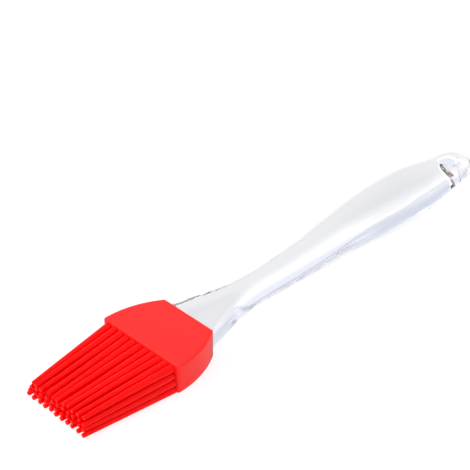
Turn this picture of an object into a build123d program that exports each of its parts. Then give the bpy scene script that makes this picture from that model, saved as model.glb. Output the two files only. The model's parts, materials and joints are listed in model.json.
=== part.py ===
"""Silicone pastry brush: a clear plastic handle, a pull-off silicone head block and its bristles.

Frame: millimetres, +Z up with the brush lying flat, +Y towards the end of the handle, X across.
The origin is the centre of the brush's footprint, on the surface it lies on.
"""

from build123d import *
from math import cos, pi, radians, sin
import os

# Overall size
OVERALL_LENGTH = 170.0
BRISTLE_LENGTH = 33.0          # from the block's front face to the tips of the lowest row

# Head block
BLOCK_FRONT_WIDTH = 31.4
BLOCK_WAIST_WIDTH = 29.7       # on the side arc, at WAIST_SHARE of the block's length
BLOCK_BACK_WIDTH = 20.2
BLOCK_LENGTH = 19.0
WAIST_SHARE = 0.44
BLOCK_FRONT_THICKNESS = 10.4
BLOCK_BACK_THICKNESS = 9.9
BLOCK_EDGE_RADIUS = 0.6

# Tongue of the handle and the slot it fills in the block
TONGUE_WIDTH = 16.4
TONGUE_THICKNESS = 4.4
TONGUE_LENGTH = 13.5
TONGUE_CORNER_RADIUS = 2.0
SLOT_CLEARANCE = 0.05
SLOT_END_GAP = 0.5

# Bristles
ROW_NAMES = "abcd"             # a is the top row
BRISTLES_PER_ROW = 11
ROOT_PITCH = 2.66
TIP_PITCH = 2.13
ROOT_ROW_PITCH = 2.4
TIP_ROW_PITCH = 1.5
ROOT_DROP = 0.15               # how far the middle of the roots lies below the block's mid-plane
TIP_DROP = 1.05                # the same for the tips
ROW_STAGGER = 0.4              # each row is this much shorter than the row below it
ROOT_RADIUS = 1.07
TIP_RADIUS = 0.6
TIP_EDGE_RADIUS = 0.3
ROOT_STANDOFF = 0.6            # from the block's front face out to the centre of each ball-ended root
SEAT_CLEARANCE = 0.12

# Handle: distance behind the block's front face, half width, thickness, centre height over the
# block's mid-plane, and squareness of the section (2 is an ellipse, more is a rounded rectangle)
HANDLE_SECTIONS = [
    (19.0, 9.9, 7.6, 0.0, 4.4),
    (23.0, 8.9, 7.8, 0.0, 4.0),
    (29.0, 7.25, 8.0, 0.0, 3.2),
    (36.0, 5.6, 8.4, 0.0, 2.5),
    (44.0, 4.75, 8.8, 0.0, 2.2),
    (54.0, 4.95, 9.3, 0.0, 2.2),
    (66.0, 5.6, 10.4, 0.4, 2.2),
    (78.0, 6.6, 11.8, 1.2, 2.2),
    (90.0, 8.0, 12.9, 1.7, 2.2),
    (102.0, 9.0, 13.1, 1.9, 2.2),
    (114.0, 8.7, 11.2, 2.1, 2.2),
    (126.0, 6.6, 8.0, 1.9, 2.2),
]
NOSE_STEPS = 5                 # sections that round off the end of the handle
NOSE_LAST_ANGLE = 82.0         # degrees round the nose at the last, nearly closed, section
SECTION_POINTS = 12            # steps round half a section

# Hang hole
HANG_HOLE_RADIUS = 2.2
HANG_HOLE_Y = 128.4            # behind the block's front face
HANG_RIM_RADIUS = 1.8          # the mouth of the hole is well rounded

FRONT_Y = BRISTLE_LENGTH - OVERALL_LENGTH / 2
BACK_Y = FRONT_Y + BLOCK_LENGTH
MID_Z = BLOCK_FRONT_THICKNESS / 2
HANDLE_END = OVERALL_LENGTH - BRISTLE_LENGTH   # behind the block's front face


def section_face(y, half_width, thickness, lift, squareness):
    """One cross-section of the handle: a closed curve between an ellipse and a rounded rectangle."""
    power = 2 / squareness
    points = []
    for step in range(SECTION_POINTS + 1):
        angle = pi * (step / SECTION_POINTS - 0.5)
        upward = abs(sin(angle)) ** power * (1 if sin(angle) > 0 else -1)
        points.append((half_width * round(cos(angle), 9) ** power, thickness / 2 * upward))
    plane = Plane(origin=(0, FRONT_Y + y, MID_Z + lift), x_dir=(1, 0, 0), z_dir=(0, -1, 0))
    with BuildSketch(plane) as section:
        with BuildLine():
            Spline(*points, tangents=[(1, 0), (-1, 0)])
            mirror(about=Plane.YZ)
        make_face()
    return section.sketch


def nose_sections():
    """Sections that shrink along a quarter ellipse from the last listed section to the handle's end."""
    start, half_width, thickness, lift, squareness = HANDLE_SECTIONS[-1]
    sections = []
    for step in range(1, NOSE_STEPS + 1):
        angle = radians(NOSE_LAST_ANGLE * step / NOSE_STEPS)
        y = start + (HANDLE_END - start) * sin(angle) / sin(radians(NOSE_LAST_ANGLE))
        share = cos(angle)
        sections.append((y, half_width * share, thickness * share, lift, squareness))
    return sections


def make_handle():
    """The clear handle: lofted body, tongue for the head, and the hang hole with its eased rim."""
    sections = [section_face(*values) for values in HANDLE_SECTIONS + nose_sections()]
    with BuildPart() as handle:
        loft(sections=sections)
        with BuildSketch(Plane.XZ.offset(-BACK_Y)):
            with Locations((0, MID_Z)):
                Rectangle(TONGUE_WIDTH, TONGUE_THICKNESS)
        extrude(amount=TONGUE_LENGTH)
        tongue_corners = handle.edges().filter_by(Axis.Z).group_by(Axis.Y)[0]
        fillet(tongue_corners, TONGUE_CORNER_RADIUS)
        with Locations((0, FRONT_Y + HANG_HOLE_Y, MID_Z)):
            Hole(HANG_HOLE_RADIUS)
        hang_rims = handle.edges(Select.LAST).filter_by(GeomType.LINE, reverse=True)
        fillet(hang_rims, HANG_RIM_RADIUS)
    return handle


def block_outline():
    """Plan outline of the block: a straight front, arched sides and a narrower straight back."""
    waist = (BLOCK_WAIST_WIDTH / 2, FRONT_Y + BLOCK_LENGTH * WAIST_SHARE)
    with BuildSketch(Plane.XY) as outline:
        with BuildLine():
            front_corner = (BLOCK_FRONT_WIDTH / 2, FRONT_Y)
            back_corner = (BLOCK_BACK_WIDTH / 2, BACK_Y)
            Line((0, FRONT_Y), front_corner)
            ThreePointArc(front_corner, waist, back_corner)
            Line(back_corner, (0, BACK_Y))
            mirror(about=Plane.YZ)
        make_face()
    return outline.sketch


def make_head_block():
    """The silicone block: wedge-shaped in side view, with the tongue slot and the bristle seats."""
    with BuildPart() as head_block:
        add(block_outline())
        extrude(amount=BLOCK_FRONT_THICKNESS)
        with BuildSketch(Plane.YZ):
            with BuildLine():
                Polyline(
                    (FRONT_Y, MID_Z - BLOCK_FRONT_THICKNESS / 2),
                    (BACK_Y, MID_Z - BLOCK_BACK_THICKNESS / 2),
                    (BACK_Y, MID_Z + BLOCK_BACK_THICKNESS / 2),
                    (FRONT_Y, MID_Z + BLOCK_FRONT_THICKNESS / 2),
                    close=True,
                )
            make_face()
        extrude(amount=BLOCK_FRONT_WIDTH, both=True, mode=Mode.INTERSECT)
        fillet(head_block.edges(), BLOCK_EDGE_RADIUS)
        with BuildSketch(Plane.XZ.offset(-BACK_Y)):
            with Locations((0, MID_Z)):
                Rectangle(TONGUE_WIDTH + 2 * SLOT_CLEARANCE, TONGUE_THICKNESS + 2 * SLOT_CLEARANCE)
        extrude(amount=TONGUE_LENGTH + SLOT_END_GAP, mode=Mode.SUBTRACT)
        with Locations(*[root_centre(row, column) for row in range(len(ROW_NAMES))
                         for column in range(BRISTLES_PER_ROW)]):
            Sphere(ROOT_RADIUS + SEAT_CLEARANCE, mode=Mode.SUBTRACT)
    return head_block


def root_centre(row, column):
    """Centre of a bristle's ball-ended root, on the hinge line of its row."""
    x = (column - (BRISTLES_PER_ROW - 1) / 2) * ROOT_PITCH
    z = MID_Z - ROOT_DROP + ((len(ROW_NAMES) - 1) / 2 - row) * ROOT_ROW_PITCH
    return Vector(x, FRONT_Y - ROOT_STANDOFF, z)


def tip_end(row, column):
    """The far end of a bristle."""
    x = (column - (BRISTLES_PER_ROW - 1) / 2) * TIP_PITCH
    y = FRONT_Y - BRISTLE_LENGTH + (len(ROW_NAMES) - 1 - row) * ROW_STAGGER
    z = MID_Z - TIP_DROP + ((len(ROW_NAMES) - 1) / 2 - row) * TIP_ROW_PITCH
    return Vector(x, y, z)


def make_bristle(row, column):
    """One bristle: a cone with a ball-ended root and a blunt tip."""
    root = root_centre(row, column)
    direction = (tip_end(row, column) - root).normalized()
    length = (tip_end(row, column) - root).length
    side = direction.cross(Vector(1, 0, 0))
    with BuildPart() as bristle:
        with BuildSketch(Plane(origin=root, x_dir=direction, z_dir=side)):
            with BuildLine():
                Line((-ROOT_RADIUS, 0), (length, 0))
                Line((length, 0), (length, TIP_RADIUS - TIP_EDGE_RADIUS))
                RadiusArc((length, TIP_RADIUS - TIP_EDGE_RADIUS), (length - TIP_EDGE_RADIUS, TIP_RADIUS),
                          -TIP_EDGE_RADIUS)
                Line((length - TIP_EDGE_RADIUS, TIP_RADIUS), (0, ROOT_RADIUS))
                RadiusArc((0, ROOT_RADIUS), (-ROOT_RADIUS, 0), -ROOT_RADIUS)
            make_face()
        revolve(axis=Axis(root, direction))
    return bristle


os.makedirs("parts", exist_ok=True)

handle = make_handle()
handle.part.label = "handle"
export_step(handle.part, "parts/handle.step")

head_block = make_head_block()
head_block.part.label = "head_block"
export_step(head_block.part, "parts/head_block.step")

for row, row_name in enumerate(ROW_NAMES):
    for column in range(BRISTLES_PER_ROW):
        name = f"bristle_{row_name}{column + 1:02d}"
        bristle = make_bristle(row, column)
        bristle.part.label = name
        export_step(bristle.part, f"parts/{name}.step")
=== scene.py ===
"""Looks of the silicone pastry brush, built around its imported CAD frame. Metres, +Z up.

The brush lies flat: bristle tips towards -Y, end of the clear handle towards +Y, X across the head.
"""

import json
import math
import random

import bmesh
import bpy
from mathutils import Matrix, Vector


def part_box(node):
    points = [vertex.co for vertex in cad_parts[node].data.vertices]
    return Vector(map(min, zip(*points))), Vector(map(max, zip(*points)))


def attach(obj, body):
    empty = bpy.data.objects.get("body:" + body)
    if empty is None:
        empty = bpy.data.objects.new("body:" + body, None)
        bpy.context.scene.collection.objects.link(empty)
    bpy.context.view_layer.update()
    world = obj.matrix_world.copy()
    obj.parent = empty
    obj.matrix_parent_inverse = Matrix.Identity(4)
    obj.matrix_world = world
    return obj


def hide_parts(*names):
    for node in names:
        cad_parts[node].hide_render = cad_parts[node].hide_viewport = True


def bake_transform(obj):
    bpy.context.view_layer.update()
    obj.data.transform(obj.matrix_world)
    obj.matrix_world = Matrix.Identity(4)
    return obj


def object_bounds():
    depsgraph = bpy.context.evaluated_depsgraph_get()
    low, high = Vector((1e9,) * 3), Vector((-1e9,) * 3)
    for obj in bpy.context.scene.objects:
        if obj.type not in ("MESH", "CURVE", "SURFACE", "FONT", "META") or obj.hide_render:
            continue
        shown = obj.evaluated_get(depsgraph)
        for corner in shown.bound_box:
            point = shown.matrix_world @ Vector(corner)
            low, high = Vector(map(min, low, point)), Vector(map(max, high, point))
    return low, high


MM = 0.001

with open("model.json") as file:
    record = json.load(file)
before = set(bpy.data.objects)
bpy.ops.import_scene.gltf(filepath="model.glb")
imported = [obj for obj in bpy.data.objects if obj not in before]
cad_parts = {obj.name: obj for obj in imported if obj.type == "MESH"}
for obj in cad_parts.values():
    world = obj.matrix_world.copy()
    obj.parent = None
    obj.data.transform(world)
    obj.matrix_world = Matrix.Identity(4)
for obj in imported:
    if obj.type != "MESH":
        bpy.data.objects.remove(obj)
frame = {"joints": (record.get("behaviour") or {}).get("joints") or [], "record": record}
cad_low, cad_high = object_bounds()

# ---------------------------------------------------------------- places read from the frame

block_low, block_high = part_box("head_block")
handle_low, handle_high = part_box("handle")
FRONT_Y = block_low.y                      # the block's front face, which the bristles grow from
BACK_Y = block_high.y                      # the block's back face, which the handle butts against
MID_Z = (block_low.z + block_high.z) / 2
HANDLE_END = handle_high.y
BACK_MM = (BACK_Y - FRONT_Y) / MM
HINGES = {joint["child"]: joint for joint in frame["joints"] if joint["type"] == "hinge"}

# ---------------------------------------------------------------- small mesh helpers


def lerp(a, b, share):
    return a + (b - a) * share


def smooth_curve(stations, column, at):
    """Value of one column of a station list at a distance, by a C1 cubic through the stations."""
    last = len(stations) - 1
    k = 0
    while k < last - 1 and at > stations[k + 1][0]:
        k += 1
    x0, x1 = stations[k][0], stations[k + 1][0]
    y0, y1 = stations[k][column], stations[k + 1][column]
    slopes = []
    for i in (k, k + 1):
        low, high = max(i - 1, 0), min(i + 1, last)
        run = stations[high][0] - stations[low][0]
        slopes.append((stations[high][column] - stations[low][column]) / run)
    t = (at - x0) / (x1 - x0)
    h = x1 - x0
    return ((2 * t**3 - 3 * t**2 + 1) * y0 + (t**3 - 2 * t**2 + t) * h * slopes[0]
            + (-2 * t**3 + 3 * t**2) * y1 + (t**3 - t**2) * h * slopes[1])


def mesh_object(name, vertices, faces, material):
    """A smooth-shaded mesh object with outward normals."""
    mesh = bpy.data.meshes.new(name)
    mesh.from_pydata([tuple(v) for v in vertices], [], faces)
    mesh.update()
    tidy = bmesh.new()
    tidy.from_mesh(mesh)
    bmesh.ops.recalc_face_normals(tidy, faces=tidy.faces)
    tidy.to_mesh(mesh)
    tidy.free()
    mesh.shade_smooth()
    mesh.materials.append(material)
    piece = bpy.data.objects.new(name, mesh)
    bpy.context.scene.collection.objects.link(piece)
    return piece


class Shell:
    """Collects vertices and faces of a mesh made of matching rings."""

    def __init__(self):
        self.vertices = []
        self.faces = []

    def ring(self, points):
        start = len(self.vertices)
        self.vertices.extend(points)
        return list(range(start, len(self.vertices)))

    def bridge(self, a, b, closed=True):
        count = len(a)
        for i in range(count if closed else count - 1):
            j = (i + 1) % count
            self.faces.append((a[i], a[j], b[j], b[i]))

    def fan(self, ring, centre):
        hub = self.ring([centre])[0]
        for i in range(len(ring)):
            self.faces.append((ring[i], ring[(i + 1) % len(ring)], hub))


# ---------------------------------------------------------------- materials


def new_material(name):
    material = bpy.data.materials.new(name)
    material.use_nodes = True
    nodes = material.node_tree.nodes
    return material, nodes, material.node_tree.links, nodes["Principled BSDF"]


def noise_bump(nodes, links, shader, scale, strength, distance):
    """Fine surface unevenness from object coordinates."""
    place = nodes.new("ShaderNodeTexCoord")
    noise = nodes.new("ShaderNodeTexNoise")
    noise.inputs["Scale"].default_value = scale
    noise.inputs["Detail"].default_value = 2.0
    bump = nodes.new("ShaderNodeBump")
    bump.inputs["Strength"].default_value = strength
    bump.inputs["Distance"].default_value = distance
    links.new(place.outputs["Object"], noise.inputs["Vector"])
    links.new(noise.outputs["Fac"], bump.inputs["Height"])
    links.new(bump.outputs["Normal"], shader.inputs["Normal"])


def ramp_node(nodes, *stops):
    """Colour ramp with a list of (position, colour) stops."""
    node = nodes.new("ShaderNodeValToRGB")
    elements = node.color_ramp.elements
    while len(elements) < len(stops):
        elements.new(0.5)
    for element, (position, colour) in zip(elements, stops):
        element.position = position
        element.color = (*colour, 1)
    return node


def painted_glancing_shade(nodes, links, shader, colour, glancing_shade_colour, start):
    """Base colour with painted shade: it turns to another, darker one where the surface is seen at a
    glancing angle.
    """
    shader.inputs["Base Color"].default_value = colour
    facing = nodes.new("ShaderNodeLayerWeight")
    facing.inputs["Blend"].default_value = 0.5
    tone = ramp_node(nodes, (start, colour[:3]), (1.0, glancing_shade_colour[:3]))
    links.new(facing.outputs["Facing"], tone.inputs["Fac"])
    links.new(tone.outputs["Color"], shader.inputs["Base Color"])


def clear_plastic():
    """Clear moulded plastic, with painted shade in its colour: grey where it faces up, bluish in its
    flanks, and darker along its edges.
    """
    material, nodes, links, shader = new_material("clear_plastic")
    shader.inputs["Base Color"].default_value = (0.93, 0.935, 0.97, 1)
    shader.inputs["Transmission Weight"].default_value = 1.0
    shader.inputs["Roughness"].default_value = 0.05
    shader.inputs["IOR"].default_value = 1.49
    surface = nodes.new("ShaderNodeNewGeometry")
    split = nodes.new("ShaderNodeSeparateXYZ")
    upward = nodes.new("ShaderNodeMapRange")
    upward.inputs["From Min"].default_value = -1.0
    # Painted shade: grey on faces that look up and bluish on the flanks, set by the surface's direction;
    # back faces stay near clear.
    grey, clear, blue = (0.64, 0.645, 0.67), (0.93, 0.935, 0.96), (0.58, 0.62, 0.75)
    painted_facing_shade = ramp_node(
        nodes, (0.3, clear), (0.46, blue), (0.66, blue), (0.8, clear), (0.9, clear), (0.985, grey))
    facing = nodes.new("ShaderNodeLayerWeight")
    facing.inputs["Blend"].default_value = 0.5
    # Painted shade: the colour darkens where the surface is seen at a glancing angle.
    edge = ramp_node(nodes, (0.75, (1, 1, 1)), (1.0, (0.6, 0.6, 0.6)))
    outer = nodes.new("ShaderNodeVectorMath")
    outer.operation = "MULTIPLY"
    inner = nodes.new("ShaderNodeMix")
    inner.data_type = "VECTOR"
    inner.inputs[5].default_value = (0.99, 0.99, 1.0)
    links.new(surface.outputs["Normal"], split.inputs["Vector"])
    links.new(split.outputs["Z"], upward.inputs["Value"])
    links.new(upward.outputs["Result"], painted_facing_shade.inputs["Fac"])
    links.new(facing.outputs["Facing"], edge.inputs["Fac"])
    links.new(painted_facing_shade.outputs["Color"], outer.inputs[0])
    links.new(edge.outputs["Color"], outer.inputs[1])
    links.new(surface.outputs["Backfacing"], inner.inputs[0])
    links.new(outer.outputs["Vector"], inner.inputs[4])
    links.new(inner.outputs[1], shader.inputs["Base Color"])
    noise_bump(nodes, links, shader, 70, 0.012, 0.0004)
    return material


def red_silicone(name, colour, glancing_shade_colour, roughness, gloss):
    """Satin red silicone rubber: light scatters a little way in, and glancing edges are painted a deeper
    red as shade.
    """
    material, nodes, links, shader = new_material(name)
    shader.inputs["Roughness"].default_value = roughness
    shader.inputs["Specular IOR Level"].default_value = gloss
    shader.inputs["Subsurface Weight"].default_value = 0.3
    shader.inputs["Subsurface Radius"].default_value = (1.0, 0.12, 0.1)
    shader.inputs["Subsurface Scale"].default_value = 0.0015
    # Painted shade: deeper red where the surface is seen at a glancing angle.
    painted_glancing_shade(nodes, links, shader, colour, glancing_shade_colour, 0.7)
    noise_bump(nodes, links, shader, 900, 0.1, 0.0001)
    return material


def pale_floor():
    """A bright table top, partly lit from below as on a light table, so that shadows stay faint."""
    material, nodes, links, shader = new_material("pale_floor")
    shader.inputs["Base Color"].default_value = (0.25, 0.25, 0.25, 1)
    shader.inputs["Roughness"].default_value = 0.9
    shader.inputs["Specular IOR Level"].default_value = 0.0
    shader.inputs["Emission Color"].default_value = (1, 1, 1, 1)
    shader.inputs["Emission Strength"].default_value = 0.82
    return material


def frosted_plastic():
    """The handle's shoulder and tongue inside the head, which stop the red from filling the handle."""
    material, nodes, links, shader = new_material("frosted_plastic")
    shader.inputs["Base Color"].default_value = (0.93, 0.92, 0.93, 1)
    shader.inputs["Roughness"].default_value = 0.6
    return material


CLEAR = clear_plastic()
FROSTED = frosted_plastic()
# The block's red is paler than the bristles' as painted sheen: the lighter base stands in for the
# reflection across its top.
BLOCK_RED = red_silicone("block_silicone", (0.97, 0.016, 0.014, 1), (0.25, 0.01, 0.015, 1), 0.45, 0.2)
BRISTLE_RED = red_silicone(
    "bristle_silicone", (0.95, 0.001, 0.001, 1), (0.5, 0.0, 0.003, 1), 0.28, 0.13)

# ---------------------------------------------------------------- clear handle

# Millimetres: distance behind the block's front face, half width, thickness, centre height over
# the block's mid-plane, squareness of the section (2 is an ellipse).
HANDLE_STATIONS = [
    (19.0, 9.9, 7.6, 0.0, 4.4),
    (23.0, 8.9, 7.8, 0.0, 4.0),
    (29.0, 7.25, 8.0, 0.0, 3.2),
    (36.0, 5.6, 8.4, 0.0, 2.5),
    (44.0, 4.75, 8.8, 0.0, 2.2),
    (54.0, 4.95, 9.3, 0.0, 2.2),
    (66.0, 5.6, 10.4, 0.4, 2.2),
    (78.0, 6.6, 11.8, 1.2, 2.2),
    (90.0, 8.0, 12.9, 1.7, 2.2),
    (102.0, 9.0, 13.1, 1.9, 2.2),
    (114.0, 8.7, 11.2, 2.1, 2.2),
    (126.0, 6.6, 8.0, 1.9, 2.2),
]
NOSE_START = HANDLE_STATIONS[-1][0]
NOSE_END = (HANDLE_END - FRONT_Y) / MM
HOLE_Y = 128.4
HOLE_RADIUS = 2.2
HOLE_RIM = 1.8                 # radius of the rounded mouth
ROUND_STEPS = 128              # vertices round a section
PATCH_STEPS = 36               # quarter-width of the hole's patch, in section vertices
PATCH_HALF_LENGTH = 4.8
RIM_STEPS = 10
PATCH_RINGS = 8
WALL_STEPS = 8
BODY_STEPS = 120
NOSE_STEPS = 40
NOSE_FULLNESS = 2.6            # 2 is an ellipse, more is a blunter end
TONGUE_HALF_WIDTH = 8.2
TONGUE_HALF_THICKNESS = 2.2
TONGUE_LENGTH = 13.5
TONGUE_ROUND = 2.0


def handle_shape(y):
    """Half width, half thickness, centre height and squareness of the handle, y mm behind the front."""
    if y <= NOSE_START:
        half_width, thickness, lift, squareness = (
            smooth_curve(HANDLE_STATIONS, c, y) for c in (1, 2, 3, 4))
        return half_width, thickness / 2, lift, squareness
    _, half_width, thickness, lift, squareness = HANDLE_STATIONS[-1]
    before = HANDLE_STATIONS[-2]
    out = (y - NOSE_START) / (NOSE_END - NOSE_START)
    share = math.sqrt(max(0.0, 1 - out**NOSE_FULLNESS))
    easing = out * (1 - out) ** 3 * (NOSE_END - NOSE_START) / (NOSE_START - before[0])
    half_width = half_width * share + (half_width - before[1]) * easing
    half_thickness = (thickness * share + (thickness - before[2]) * easing) / 2
    return half_width, half_thickness, lift, squareness


def frame_point(x, y, z):
    """Row-frame point from millimetres across, behind the block's front face and above its mid-plane."""
    return Vector((x * MM, FRONT_Y + y * MM, MID_Z + z * MM))


def section_point(y, angle):
    half_width, half_thickness, lift, squareness = handle_shape(y)
    power = 2 / squareness
    x = math.copysign(abs(math.cos(angle)) ** power, math.cos(angle)) * half_width
    z = math.copysign(abs(math.sin(angle)) ** power, math.sin(angle)) * half_thickness
    return x, z + lift


def skin_height(x, y, side):
    """Height of the handle's upper (side 1) or lower (side -1) skin."""
    half_width, half_thickness, lift, squareness = handle_shape(y)
    share = max(0.0, 1 - abs(x / half_width) ** squareness) ** (1 / squareness)
    return lift + side * half_thickness * share


def handle_rows():
    """Distances of the handle's sections, closer together near the end."""
    rows = []
    for i in range(BODY_STEPS + 1):
        rows.append(lerp(BACK_MM, NOSE_START, i / BODY_STEPS))
    for i in range(1, NOSE_STEPS):
        angle = math.pi / 2 * i / NOSE_STEPS
        rows.append(NOSE_START + (NOSE_END - NOSE_START) * math.sin(angle))
    return rows


def make_handle():
    """The clear handle: skin, hang hole with rounded mouths, and tongue."""
    shell = Shell()
    rows = handle_rows()
    quarter = ROUND_STEPS // 4
    first_hole = min(range(len(rows)), key=lambda i: abs(rows[i] - (HOLE_Y - PATCH_HALF_LENGTH)))
    last_hole = min(range(len(rows)), key=lambda i: abs(rows[i] - (HOLE_Y + PATCH_HALF_LENGTH)))
    rings = []
    for y in rows:
        points = []
        for j in range(ROUND_STEPS):
            x, z = section_point(y, 2 * math.pi * j / ROUND_STEPS)
            points.append(frame_point(x, y, z))
        rings.append(shell.ring(points))
    patches = {1: (quarter - PATCH_STEPS // 2, quarter + PATCH_STEPS // 2),
               -1: (3 * quarter - PATCH_STEPS // 2, 3 * quarter + PATCH_STEPS // 2)}

    def in_patch(row, column):
        return first_hole <= row < last_hole and any(a <= column < b for a, b in patches.values())

    for i in range(len(rings) - 1):
        for j in range(ROUND_STEPS):
            if not in_patch(i, j):
                k = (j + 1) % ROUND_STEPS
                shell.faces.append((rings[i][j], rings[i][k], rings[i + 1][k], rings[i + 1][j]))
    shell.fan(rings[-1], frame_point(0, NOSE_END, HANDLE_STATIONS[-1][3]))

    walls = {}
    for side, (a, b) in patches.items():
        loop = [rings[first_hole][j] for j in range(a, b)]
        loop += [rings[i][b] for i in range(first_hole, last_hole)]
        loop += [rings[last_hole][j] for j in range(b, a, -1)]
        loop += [rings[i][a] for i in range(last_hole, first_hole, -1)]
        if side < 0:
            loop = [loop[0]] + loop[:0:-1]
        outer = [(shell.vertices[v].x / MM, (shell.vertices[v].y - FRONT_Y) / MM) for v in loop]
        angles = [math.atan2(y - HOLE_Y, x) for x, y in outer]
        previous = loop
        mouth = HOLE_RADIUS + HOLE_RIM
        for ring_number in range(1, PATCH_RINGS + 1):
            share = ring_number / PATCH_RINGS
            points = []
            for (x, y), angle in zip(outer, angles):
                px = lerp(x, mouth * math.cos(angle), share)
                py = lerp(y, HOLE_Y + mouth * math.sin(angle), share)
                points.append(frame_point(px, py, skin_height(px, py, side)))
            ring = shell.ring(points)
            shell.bridge(previous, ring)
            previous = ring
        for rim_number in range(1, RIM_STEPS + 1):
            turn = math.pi / 2 * rim_number / RIM_STEPS
            radius = mouth - HOLE_RIM * math.sin(turn)
            drop = HOLE_RIM * (1 - math.cos(turn))
            points = []
            for angle in angles:
                px, py = radius * math.cos(angle), HOLE_Y + radius * math.sin(angle)
                points.append(frame_point(px, py, skin_height(px, py, side) - side * drop))
            ring = shell.ring(points)
            shell.bridge(previous, ring)
            previous = ring
        walls[side] = (previous, angles)
    top, top_angles = walls[1]
    bottom, bottom_angles = walls[-1]
    matched = [
        min(range(len(bottom)), key=lambda k: abs(math.remainder(bottom_angles[k] - a, math.tau)))
        for a in top_angles]
    bottom = [bottom[k] for k in matched]
    previous = top
    for step in range(1, WALL_STEPS):
        points = [lerp(shell.vertices[t], shell.vertices[u], step / WALL_STEPS)
                  for t, u in zip(top, bottom)]
        ring = shell.ring(points)
        shell.bridge(previous, ring)
        previous = ring
    shell.bridge(previous, bottom)

    add_tongue(shell, rings[0])
    handle = mesh_object("clear_handle", shell.vertices, shell.faces, CLEAR)
    tidy = bmesh.new()
    tidy.from_mesh(handle.data)
    loose = [v for v in tidy.verts if not v.link_faces]
    bmesh.ops.delete(tidy, geom=loose, context="VERTS")
    bmesh.ops.recalc_face_normals(tidy, faces=tidy.faces)
    tidy.to_mesh(handle.data)
    tidy.free()
    handle.data.materials.append(FROSTED)
    for face in handle.data.polygons:
        if face.center.y < BACK_Y + 0.01 * MM:
            face.material_index = 1
    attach(handle, "handle")
    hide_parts("handle")
    return handle


def tongue_ring(y, half_width, half_thickness):
    points = []
    for j in range(ROUND_STEPS):
        angle = 2 * math.pi * j / ROUND_STEPS
        x = math.copysign(abs(math.cos(angle)) ** 0.25, math.cos(angle)) * half_width
        z = math.copysign(abs(math.sin(angle)) ** 0.25, math.sin(angle)) * half_thickness
        points.append(frame_point(x, y, z))
    return points


def add_tongue(shell, shoulder):
    """The flat tongue that the silicone head is pushed over, growing from the shoulder."""
    previous = shoulder
    for y, grow in ((BACK_MM, 0.3), (BACK_MM - 0.3, 0.0), (BACK_MM - 3, 0.0), (BACK_MM - 8, 0.0)):
        ring = shell.ring(tongue_ring(y, TONGUE_HALF_WIDTH + grow, TONGUE_HALF_THICKNESS + grow * 0.3))
        shell.bridge(previous, ring)
        previous = ring
    tip = BACK_MM - TONGUE_LENGTH
    corner_steps = 8
    for step in range(corner_steps + 1):
        turn = math.pi / 2 * step / corner_steps
        y = tip + TONGUE_ROUND * (1 - math.sin(turn))
        half_width = TONGUE_HALF_WIDTH - TONGUE_ROUND * (1 - math.cos(turn))
        ring = shell.ring(tongue_ring(y, half_width, TONGUE_HALF_THICKNESS))
        shell.bridge(previous, ring)
        previous = ring
    shell.fan(previous, frame_point(0, tip, 0))


# ---------------------------------------------------------------- silicone block

BLOCK_FRONT_HALF = 15.7
BLOCK_BACK_HALF = 10.1
BLOCK_WAIST = (8.36, 14.85)    # distance from the front and half width on the side arc
BLOCK_FRONT_THICKNESS = 10.4
BLOCK_BACK_THICKNESS = 9.9
BLOCK_ROUND = 0.6
BLOCK_CROWN = 0.25             # the middle of the top stands this much over its edges
SLOT_CLEARANCE = 0.05
SLOT_END_GAP = 0.5


def circle_through(a, b, c):
    """Centre and radius of the circle through three points in the plane."""
    (ax, ay), (bx, by), (cx, cy) = a, b, c
    d = 2 * (ax * (by - cy) + bx * (cy - ay) + cx * (ay - by))
    aa, bb, cc = ax**2 + ay**2, bx**2 + by**2, cx**2 + cy**2
    ux = (aa * (by - cy) + bb * (cy - ay) + cc * (ay - by)) / d
    uy = (aa * (cx - bx) + bb * (ax - cx) + cc * (bx - ax)) / d
    return (ux, uy), math.hypot(ax - ux, ay - uy)


SIDE_CENTRE, SIDE_RADIUS = circle_through(
    (BLOCK_FRONT_HALF, 0.0), (BLOCK_WAIST[1], BLOCK_WAIST[0]), (BLOCK_BACK_HALF, BACK_MM))


def block_half_width(y):
    return SIDE_CENTRE[0] + math.sqrt(SIDE_RADIUS**2 - (y - SIDE_CENTRE[1]) ** 2)


def rounded_rectangle(half_width, half_thickness, corner, side_steps=24, end_steps=8, corner_steps=6):
    """Closed loop of (x, z) points of a rectangle with rounded corners."""
    points = []
    inner_x, inner_z = half_width - corner, half_thickness - corner
    corners = ((inner_x, inner_z, 0), (-inner_x, inner_z, 90),
               (-inner_x, -inner_z, 180), (inner_x, -inner_z, 270))
    for number, (cx, cz, start) in enumerate(corners):
        for step in range(corner_steps + 1):
            angle = math.radians(start + 90 * step / corner_steps)
            points.append((cx + corner * math.cos(angle), cz + corner * math.sin(angle)))
        next_cx, next_cz, next_start = corners[(number + 1) % 4]
        turn = math.radians(next_start)
        after = (next_cx + corner * math.cos(turn), next_cz + corner * math.sin(turn))
        here = points[-1]
        steps = side_steps if number % 2 == 0 else end_steps
        for step in range(1, steps):
            share = step / steps
            points.append((lerp(here[0], after[0], share), lerp(here[1], after[1], share)))
    return points


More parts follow.
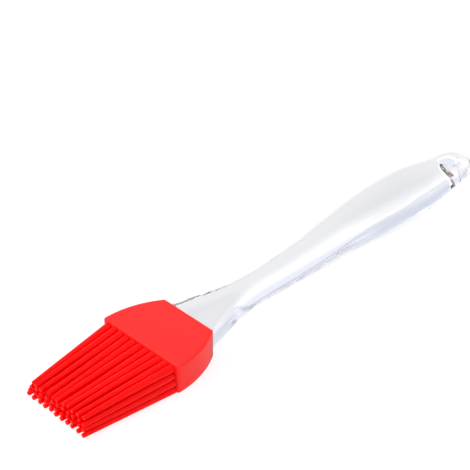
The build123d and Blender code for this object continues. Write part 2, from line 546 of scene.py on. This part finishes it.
def make_block():
    """The silicone block, with its edges rounded and the slot for the tongue in its back."""
    shell = Shell()

    def loop(y, inset, corner):
        half_width = block_half_width(min(max(y, 0.0), BACK_MM)) - inset
        half_thickness = lerp(BLOCK_FRONT_THICKNESS, BLOCK_BACK_THICKNESS, y / BACK_MM) / 2 - inset
        points = []
        for x, z in rounded_rectangle(half_width, half_thickness, corner):
            across = max(0.0, 1 - (x / half_width) ** 2)
            along = math.sin(math.pi * min(max(y / BACK_MM, 0), 1))
            points.append(frame_point(x, y, z * (1 - BLOCK_CROWN / half_thickness * (1 - across * along))))
        return shell.ring(points)

    round_steps = 6
    loops = []
    for step in range(round_steps + 1):
        turn = math.pi / 2 * step / round_steps
        y = BLOCK_ROUND * (1 - math.sin(turn))
        inset = BLOCK_ROUND * (1 - math.cos(turn))
        loops.append((y, inset))
    front = sorted(loops)
    body_steps = 24
    body = [(lerp(BLOCK_ROUND, BACK_MM - BLOCK_ROUND, i / body_steps), 0.0)
            for i in range(1, body_steps)]
    back = [(BACK_MM - y, inset) for y, inset in reversed(front)]
    rings = [loop(y, inset, max(BLOCK_ROUND - inset, 0.0) + 0.05) for y, inset in front + body + back]
    for a, b in zip(rings, rings[1:]):
        shell.bridge(a, b)

    hub_half = BLOCK_FRONT_HALF - 5.0
    spine = [frame_point(max(-hub_half, min(hub_half, shell.vertices[v].x / MM)), 0, 0) for v in rings[0]]
    spine_ring = shell.ring(spine)
    shell.bridge(rings[0], spine_ring)

    slot_w = TONGUE_HALF_WIDTH + SLOT_CLEARANCE
    slot_t = TONGUE_HALF_THICKNESS + SLOT_CLEARANCE
    slot_loop = rounded_rectangle(slot_w, slot_t, 0.3)
    previous = rings[-1]
    for y in (BACK_MM, BACK_MM - 5, BACK_MM - TONGUE_LENGTH - SLOT_END_GAP):
        ring = shell.ring([frame_point(x, y, z) for x, z in slot_loop])
        shell.bridge(previous, ring)
        previous = ring
    end = shell.ring([frame_point(max(-5.0, min(5.0, x)), BACK_MM - TONGUE_LENGTH - SLOT_END_GAP, 0)
                      for x, z in slot_loop])
    shell.bridge(previous, end)
    block = mesh_object("silicone_block", shell.vertices, shell.faces, BLOCK_RED)
    tidy = bmesh.new()
    tidy.from_mesh(block.data)
    bmesh.ops.remove_doubles(tidy, verts=tidy.verts, dist=1e-7)
    bmesh.ops.recalc_face_normals(tidy, faces=tidy.faces)
    tidy.to_mesh(block.data)
    tidy.free()
    block.data.set_sharp_from_angle(angle=math.radians(50))
    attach(block, "head")
    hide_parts("head_block")
    return block


# ---------------------------------------------------------------- bristles

ROOT_RADIUS = 1.22
TIP_RADIUS = 0.72
TIP_EDGE = 0.25                # radius of the edge round the blunt tip
ROOT_DEPTH = 0.5               # how far its root reaches into the block
BRISTLE_ROUND = 24
BRISTLE_STEPS = 26
TIP_EDGE_STEPS = 4
ROOT_PITCH = 2.66
ROOT_PITCH_GROWTH = 0.05       # the lower rows start out wider
ROOT_SAG = 0.2                 # of the roots below their row's hinge line
TIP_PITCH = 2.13
TIP_PITCH_GROWTH = 0.06        # the lower rows fan out wider
TOP_TIP_LIFT = 1.2             # tips of the top row over the block's mid-plane
TIP_ROW_PITCH = 1.35
TIP_ROW_FAN = 0.2              # the rows lie closer together at the -X side and wider at the +X side
TOP_ROW_LEAN = (0, -0.9, -0.5, 0.2, 0.3, -0.4, 0.1, -0.4, -0.4, -0.2, 0)
TIP_JITTER = 0.22
BOW_SIDEWAYS = 0.2
BOW_UPWARD = 0.15
MIDDLE_COLUMN = 5
BRISTLE_SEED = 11


def bristle_line(root, tip, bow, share):
    """Centre line of a bristle: from root to tip with a gentle bow."""
    return lerp(root, tip, share) + bow * (4 * share * (1 - share))


def make_bristle(node, body, row, column, rng):
    """One tapered bristle, blunt at the tip, running with a gentle bow from the block to its tip."""
    hinge = Vector(HINGES[body]["pos_m"])
    side_share = (column - MIDDLE_COLUMN) / MIDDLE_COLUMN
    root_x = (column - MIDDLE_COLUMN) * (ROOT_PITCH + ROOT_PITCH_GROWTH * row)
    root = Vector((root_x * MM, FRONT_Y, hinge.z - ROOT_SAG * MM))
    tip_x = (column - MIDDLE_COLUMN) * (TIP_PITCH + TIP_PITCH_GROWTH * row)
    tip_z = TOP_TIP_LIFT - row * (TIP_ROW_PITCH + TIP_ROW_FAN * side_share)
    if row == 0:
        tip_x += TOP_ROW_LEAN[column]
    tip_x += rng.uniform(-1, 1) * TIP_JITTER
    tip_z += rng.uniform(-0.6, 0.6) * TIP_JITTER
    tip_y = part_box(node)[0].y + rng.uniform(0.2, 3) * TIP_JITTER * MM
    tip = Vector((tip_x * MM, tip_y, MID_Z + tip_z * MM))
    tip.z = max(tip.z, cad_low.z + (TIP_RADIUS + 0.05) * MM)
    bow = Vector((rng.uniform(-BOW_SIDEWAYS, BOW_SIDEWAYS), 0, rng.uniform(-BOW_UPWARD, BOW_UPWARD))) * MM
    axis = (tip - root).normalized()
    side = axis.cross(Vector((0, 0, 1))).normalized()
    up = side.cross(axis)
    length = (tip - root).length
    shell = Shell()

    def ring(centre, radius):
        return shell.ring([centre + (side * math.cos(a) + up * math.sin(a)) * (radius * MM)
                           for a in (2 * math.pi * i / BRISTLE_ROUND for i in range(BRISTLE_ROUND))])

    inner = root - axis * (ROOT_DEPTH * MM)
    rings = [ring(inner, ROOT_RADIUS)]
    last = 1 - TIP_EDGE * MM / length
    for i in range(BRISTLE_STEPS + 1):
        share = last * i / BRISTLE_STEPS
        rings.append(ring(bristle_line(root, tip, bow, share), lerp(ROOT_RADIUS, TIP_RADIUS, share)))
    end = bristle_line(root, tip, bow, last)
    for i in range(1, TIP_EDGE_STEPS + 1):
        turn = math.pi / 2 * i / TIP_EDGE_STEPS
        radius = TIP_RADIUS - TIP_EDGE * (1 - math.cos(turn))
        rings.append(ring(end + axis * (TIP_EDGE * MM * math.sin(turn)), radius))
    for a, b in zip(rings, rings[1:]):
        shell.bridge(a, b)
    shell.fan(rings[0], inner)
    shell.fan(rings[-1], end + axis * (TIP_EDGE * MM))
    piece = mesh_object("silicone_" + node, shell.vertices, shell.faces, BRISTLE_RED)
    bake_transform(piece)
    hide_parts(node)


def make_bristles():
    rng = random.Random(BRISTLE_SEED)
    bodies = frame["record"]["behaviour"]["bodies"]
    for row, body in enumerate(sorted(HINGES)):
        for column, node in enumerate(bodies[body]):
            make_bristle(node, body, row, column, rng)


# ---------------------------------------------------------------- stage

CAMERA_AZIMUTH = 45.91
CAMERA_ELEVATION = 36.42
CAMERA_DISTANCE = 0.8541
CAMERA_LENS = 229.8
AIM_RIGHT = 0.02684            # from the middle of the block's front face, in the camera's plane
AIM_UP = 0.03436


def make_floor():
    bpy.ops.mesh.primitive_plane_add(size=6, location=(0, 0, cad_low.z))
    floor = bpy.context.object
    floor.name = "floor"
    floor.data.materials.append(pale_floor())


def area_light(name, place, target, size, power):
    data = bpy.data.lights.new(name, "AREA")
    data.shape = "RECTANGLE"
    data.size, data.size_y = size
    data.energy = power
    light = bpy.data.objects.new(name, data)
    light.location = place
    light.rotation_euler = (Vector(target) - Vector(place)).to_track_quat("-Z", "Y").to_euler()
    bpy.context.scene.collection.objects.link(light)


def make_world():
    """A white light tent: cool overhead, white lower down, with a grey opening to the right."""
    world = bpy.data.worlds.new("studio")
    bpy.context.scene.world = world
    world.use_nodes = True
    nodes, links = world.node_tree.nodes, world.node_tree.links
    place = nodes.new("ShaderNodeTexCoord")
    split = nodes.new("ShaderNodeSeparateXYZ")
    tent = ramp_node(
        nodes, (0.0, (0.8, 0.82, 0.86)), (0.25, (1, 1, 1)), (0.55, (1, 1, 1)), (0.8, (0.9, 0.92, 0.98)))
    toward = nodes.new("ShaderNodeVectorMath")
    toward.operation = "DOT_PRODUCT"
    toward.inputs[1].default_value = Vector((0.87, 0.0, 0.48)).normalized()
    opening = ramp_node(nodes, (0.95, (1, 1, 1)), (0.975, (0.42, 0.42, 0.46)))
    both = nodes.new("ShaderNodeVectorMath")
    both.operation = "MULTIPLY"
    links.new(place.outputs["Generated"], split.inputs["Vector"])
    links.new(split.outputs["Z"], tent.inputs["Fac"])
    links.new(place.outputs["Generated"], toward.inputs[0])
    links.new(toward.outputs["Value"], opening.inputs["Fac"])
    links.new(tent.outputs["Color"], both.inputs[0])
    links.new(opening.outputs["Color"], both.inputs[1])
    links.new(both.outputs["Vector"], nodes["Background"].inputs["Color"])
    nodes["Background"].inputs["Strength"].default_value = 0.95


def make_lights():
    area_light("key", (-0.35, -0.55, 0.75), (0, -0.03, 0), (0.35, 0.35), 5)


def make_camera():
    azimuth, elevation = math.radians(CAMERA_AZIMUTH), math.radians(CAMERA_ELEVATION)
    right = Vector((math.cos(azimuth), math.sin(azimuth), 0))
    back = Vector((math.sin(azimuth) * math.cos(elevation),
                   -math.cos(azimuth) * math.cos(elevation), math.sin(elevation)))
    up = back.cross(right)
    data = bpy.data.cameras.new("camera")
    data.lens = CAMERA_LENS
    data.sensor_width = 36
    data.clip_start, data.clip_end = 0.05, 20
    camera = bpy.data.objects.new("camera", data)
    aim = Vector((0, FRONT_Y, MID_Z)) + right * AIM_RIGHT + up * AIM_UP
    camera.location = aim + back * CAMERA_DISTANCE
    camera.rotation_euler = back.to_track_quat("Z", "Y").to_euler()
    bpy.context.scene.collection.objects.link(camera)
    bpy.context.scene.camera = camera


make_handle()
make_block()
make_bristles()
make_floor()
make_world()
make_lights()
make_camera()
bpy.context.scene.view_settings.view_transform = "Standard"
bpy.context.scene.cycles.max_bounces = 32
bpy.context.scene.cycles.diffuse_bounces = 10
bpy.context.scene.cycles.glossy_bounces = 16
bpy.context.scene.cycles.transmission_bounces = 24
